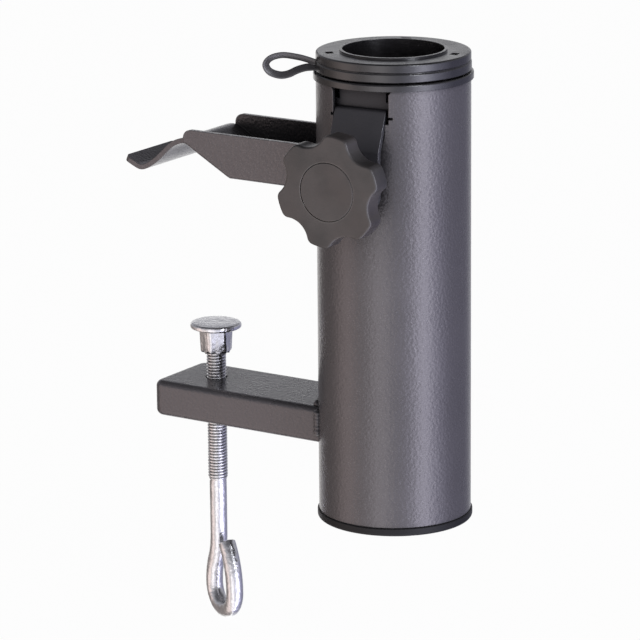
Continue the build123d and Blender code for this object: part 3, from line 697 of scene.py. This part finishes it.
# ---- pull strap -----------------------------------------------------------------------------
STRAP_YAW = radians(213.2)       # direction the loop points, from +X seen from above
STRAP_W = 3.2 * MM
STRAP_T = 0.9 * MM
LARGE_FLANGE_H = 3.8 * MM
STRAP_FLARE = radians(52)        # the ribbon's flat face is turned up towards the viewer
STRAP_STEPS = 8                  # rings from one point of the shape to the next
STRAP_ROUND = 16                 # points round the ribbon
STRAP_SQUARE_W = 0.5             # a lower power gives the section squarer corners
STRAP_SQUARE_T = 0.7
STRAP_CREASE = 60
STRAP_SHAPE = (                  # reach from the flange and height over its middle, in mm
    (-0.6, 0.8), (3.6, 2.3), (7.2, 3.2), (12.4, 3.9), (16.9, 2.8), (18.9, 0.3),
    (17.4, -2.5), (13.6, -3.9), (10.2, -3.5), (6.9, -2.0), (3.4, -1.0), (-0.6, -0.8),
)


def smooth_line(points, steps):
    """Catmull-Rom curve through the points."""
    line = []
    for i in range(len(points) - 1):
        p0 = points[max(i - 1, 0)]
        p1 = points[i]
        p2 = points[i + 1]
        p3 = points[min(i + 2, len(points) - 1)]
        for k in range(steps):
            t = k / steps
            line.append(
                0.5 * (2 * p1 + (p2 - p0) * t + (2 * p0 - 5 * p1 + 4 * p2 - p3) * t ** 2
                       + (3 * p1 - p0 - 3 * p2 + p3) * t ** 3)
            )
    line.append(points[-1])
    return line


def ribbon_section():
    """Points round the ribbon's section: a rectangle with well rounded corners."""
    points = []
    for k in range(STRAP_ROUND):
        a = 2 * pi * k / STRAP_ROUND
        wide = math.copysign(abs(cos(a)) ** STRAP_SQUARE_W * STRAP_W / 2, cos(a))
        thick = math.copysign(abs(sin(a)) ** STRAP_SQUARE_T * STRAP_T / 2, sin(a))
        points.append((wide, thick))
    return points


def pull_strap():
    """A flared ribbon loop with rounded edges."""
    flange_r = box_radius("large_reducer")
    root_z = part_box("large_reducer")[1][2] - LARGE_FLANGE_H / 2
    out = Vector((cos(STRAP_YAW), sin(STRAP_YAW), 0))
    across = Vector((sin(STRAP_YAW), -cos(STRAP_YAW), 0))
    line = smooth_line([Vector(p) * MM for p in STRAP_SHAPE], STRAP_STEPS)
    section = ribbon_section()
    rings = []
    for i, point in enumerate(line):
        along = (line[min(i + 1, len(line) - 1)] - line[max(i - 1, 0)]).normalized()
        outward = Vector((-along.y, along.x))
        normal = out * outward.x + Vector((0, 0, outward.y))
        wide = across * cos(STRAP_FLARE) - normal * sin(STRAP_FLARE)
        thick = normal * cos(STRAP_FLARE) + across * sin(STRAP_FLARE)
        middle = out * (flange_r + point.x) + Vector((0, 0, root_z + point.y))
        rings.append([middle + wide * w + thick * t for w, t in section])
    mesh = mesh_from_rings("pull_strap_looks", rings)
    piece = new_piece("pull_strap_ribbon", mesh, "large_sleeve", strap_plastic)
    auto_smooth(piece, STRAP_CREASE)
    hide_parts("pull_strap")


FLASH_SEED = 7
FLASH_INSET = 0.55 * MM          # from the flange's rim
FLASH_WAVES = (3, 5, 8, 13, 21, 34)    # waves round the collar that add up to its swing
FLASH_SWING_OUT = 0.10 * MM
FLASH_SWING_UP = 0.14 * MM
FLASH_HALF_W = 0.34 * MM
FLASH_HALF_H = 0.2 * MM
FLASH_STEPS = 260                # rings round the collar
FLASH_ROUND = 8                  # points round the flash


def joint_flash():
    """The thin uneven moulding flash in the joint between the two reducer flanges."""
    chance = random.Random(FLASH_SEED)
    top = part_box("large_reducer")[1][2]
    radius = box_radius("large_reducer") - FLASH_INSET
    waves = [(n, chance.uniform(0.2, 1.0) / sqrt(n), chance.uniform(0, 2 * pi)) for n in FLASH_WAVES]
    rings = []
    for i in range(FLASH_STEPS + 1):
        a = 2 * pi * i / FLASH_STEPS
        swing = sum(size * sin(n * a + start) for n, size, start in waves)
        side = Vector((cos(a), sin(a), 0))
        middle = side * (radius + FLASH_SWING_OUT * swing)
        middle.z = top + FLASH_SWING_UP * swing
        rings.append([middle + side * (FLASH_HALF_W * cos(b)) + Vector((0, 0, FLASH_HALF_H * sin(b)))
                      for b in (2 * pi * k / FLASH_ROUND for k in range(FLASH_ROUND))])
    mesh = mesh_from_rings("joint_flash_looks", rings, capped=False)
    new_piece("joint_flash", mesh, "small_sleeve", collar_plastic)


threaded_eye_screw()
threaded_knob_bolt()
pressure_foot()
hook_sheet_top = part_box("hook_arm_welds")[0][2] + SHEET
clamp_sheet_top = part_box("clamp_arm")[1][2]
weld_pieces("hook_arm_welds", "hook_arm", hook_sheet_top, "hook_arm_bead", seed=3)
weld_pieces("clamp_arm_welds", "clamp_arm", clamp_sheet_top, "clamp_arm_bead", seed=5)
pull_strap()
joint_flash()

# ---- floor, light and camera -------------------------------------------------------------
FLOOR_SIZE = 12.0
FLOOR_GAP = 0.5 * MM             # the floor is this far below the object
FLOOR_GLOW = 0.975               # how much of the floor's look is plain white to the camera


def pale_floor(z):
    """A wide plain floor: near white to the camera, clear to every other ray."""
    mesh = bpy.data.meshes.new("floor")
    half = FLOOR_SIZE / 2
    mesh.from_pydata(
        [(-half, -half, z), (half, -half, z), (half, half, z), (-half, half, z)], [], [(0, 1, 2, 3)]
    )
    floor = bpy.data.objects.new("floor", mesh)
    scene.collection.objects.link(floor)
    m = Nodes("pale_floor")
    m.set("Base Color", (0.80, 0.80, 0.80, 1.0))
    m.set("Roughness", 0.9)
    m.set("Specular IOR Level", 0.0)
    glow = m.add("ShaderNodeEmission")
    clear = m.add("ShaderNodeBsdfTransparent")
    seen = m.add("ShaderNodeLightPath")
    pale = m.add("ShaderNodeMixShader")
    pale.inputs[0].default_value = FLOOR_GLOW
    m.link(m.bsdf.outputs[0], pale.inputs[1])
    m.link(glow.outputs[0], pale.inputs[2])
    both = m.add("ShaderNodeMixShader")
    m.link(seen.outputs["Is Camera Ray"], both.inputs[0])
    m.link(clear.outputs[0], both.inputs[1])
    m.link(pale.outputs[0], both.inputs[2])
    m.link(both.outputs[0], m.output.inputs["Surface"])
    mesh.materials.append(m.material)


KEY_WATTS = 8.0
KEY_COLOUR = (0.92, 0.94, 1.0)
KEY_WIDTH = 0.28
KEY_HEIGHT = 1.1
KEY_RIGHT = 1.0                  # the softbox stands this far to the right of the object
KEY_BACK = 1.25                  # this far towards the camera
KEY_UP = 0.35


def key_light(target, toward_camera, toward_right):
    """A tall softbox beside the camera that looks at the object."""
    data = bpy.data.lights.new("key", "AREA")
    data.shape = "RECTANGLE"
    data.size = KEY_WIDTH
    data.size_y = KEY_HEIGHT
    data.energy = KEY_WATTS
    data.color = KEY_COLOUR
    light = bpy.data.objects.new("key", data)
    scene.collection.objects.link(light)
    light.location = target + toward_right * KEY_RIGHT + toward_camera * KEY_BACK + Vector((0, 0, KEY_UP))
    light.rotation_euler = (target - light.location).to_track_quat("-Z", "Y").to_euler()


# Brightness of the studio round the object: (degrees from the camera towards its right,
# colour).  The left is warm and dull, the softbox on the right is cool and bright.
WALLS = (
    (-180, (1.30, 1.30, 1.30)),
    (-158, (1.00, 0.98, 0.97)),
    (-140, (0.20, 0.18, 0.18)),
    (-112, (0.25, 0.22, 0.21)),
    (-76, (1.10, 0.93, 0.89)),
    (-52, (0.62, 0.58, 0.58)),
    (-22, (1.42, 1.36, 1.40)),
    (5, (0.62, 0.62, 0.70)),
    (24, (1.00, 1.00, 1.20)),
    (44, (2.85, 2.85, 3.35)),
    (64, (1.00, 1.00, 1.32)),
    (90, (0.30, 0.30, 0.44)),
    (135, (0.22, 0.22, 0.30)),
    (158, (0.55, 0.55, 0.60)),
    (180, (1.30, 1.30, 1.30)),
)
CEILING_FROM = 0.02              # sine of the height angle where the walls start to give way
CEILING_TO = 0.28
CEILING = (                      # (sine of the height angle, colour)
    (0.24, (0.42, 0.42, 0.46)),
    (0.45, (0.30, 0.30, 0.33)),
    (0.75, (0.10, 0.10, 0.11)),
)


def studio_world(toward_camera, toward_right):
    """Surroundings that change round the object, for the bands a round tube shows."""
    world = bpy.data.worlds.new("studio")
    scene.world = world
    world.use_nodes = True
    tree = world.node_tree
    back = tree.nodes["Background"]
    direction = tree.nodes.new("ShaderNodeTexCoord").outputs["Generated"]

    def dot_with(vector):
        node = tree.nodes.new("ShaderNodeVectorMath")
        node.operation = "DOT_PRODUCT"
        node.inputs[1].default_value = vector
        tree.links.new(direction, node.inputs[0])
        return node.outputs["Value"]

    def maths(operation, *values):
        node = tree.nodes.new("ShaderNodeMath")
        node.operation = operation
        for socket, value in zip(node.inputs, values):
            if isinstance(value, bpy.types.NodeSocket):
                tree.links.new(value, socket)
            else:
                socket.default_value = value
        return node.outputs[0]

    def colours(value, stops):
        node = tree.nodes.new("ShaderNodeValToRGB")
        node.color_ramp.interpolation = "EASE"
        elements = node.color_ramp.elements
        while len(elements) < len(stops):
            elements.new(0.5)
        for element, (position, colour) in zip(elements, stops):
            element.position = position
            element.color = (*colour, 1.0)
        tree.links.new(value, node.inputs[0])
        return node.outputs[0]

    level_back = Vector((toward_camera.x, toward_camera.y, 0)).normalized()
    turn = maths("ARCTAN2", dot_with(toward_right), dot_with(level_back))
    share = maths("MULTIPLY_ADD", turn, 1 / (2 * pi), 0.5)
    rise = dot_with((0, 0, 1))
    walls = colours(share, [(angle / 360 + 0.5, colour) for angle, colour in WALLS])
    ceiling = colours(rise, CEILING)
    height = tree.nodes.new("ShaderNodeMapRange")
    height.inputs["From Min"].default_value = CEILING_FROM
    height.inputs["From Max"].default_value = CEILING_TO
    tree.links.new(rise, height.inputs["Value"])
    mix = tree.nodes.new("ShaderNodeMix")
    mix.data_type = "RGBA"
    tree.links.new(height.outputs[0], mix.inputs[0])
    tree.links.new(walls, mix.inputs[MIX_A])
    tree.links.new(ceiling, mix.inputs[MIX_B])
    tree.links.new(mix.outputs[MIX_RESULT], back.inputs["Color"])


CAMERA_TURN = 33.24              # degrees from -Y towards +X
CAMERA_RISE = 14.56
CAMERA_DISTANCE = 1.5738
CAMERA_ROLL = -0.48
TARGET_Z = 0.07952
TARGET_ACROSS = -0.02908
LENS = 226.35
SENSOR_WIDTH = 36.0
CLIP_START = 0.05
CLIP_END = 50.0


def make_camera():
    """The camera at the viewing angle of the picture to match."""
    turn = radians(CAMERA_TURN)
    rise = radians(CAMERA_RISE)
    back = Vector((sin(turn) * cos(rise), -cos(turn) * cos(rise), sin(rise)))
    right = Vector((cos(turn), sin(turn), 0.0))
    up = back.cross(right)
    target = Vector((0, 0, TARGET_Z)) + right * TARGET_ACROSS
    roll = radians(CAMERA_ROLL)
    rolled_right = right * cos(roll) + up * sin(roll)
    rolled_up = up * cos(roll) - right * sin(roll)
    data = bpy.data.cameras.new("camera")
    data.lens = LENS
    data.sensor_width = SENSOR_WIDTH
    data.clip_start = CLIP_START
    data.clip_end = CLIP_END
    camera = bpy.data.objects.new("camera", data)
    scene.collection.objects.link(camera)
    turn_matrix = Matrix((rolled_right, rolled_up, back)).transposed().to_4x4()
    camera.matrix_world = Matrix.Translation(target + back * CAMERA_DISTANCE) @ turn_matrix
    scene.camera = camera
    return back, right


low, high = cad_bounds
pale_floor(low[2] - FLOOR_GAP)
view_back, view_right = make_camera()
studio_world(view_back, view_right)
key_light(Vector((0, 0, (low[2] + high[2]) / 2)), view_back, view_right)

scene.view_settings.view_transform = "Standard"
scene.view_settings.look = "None"
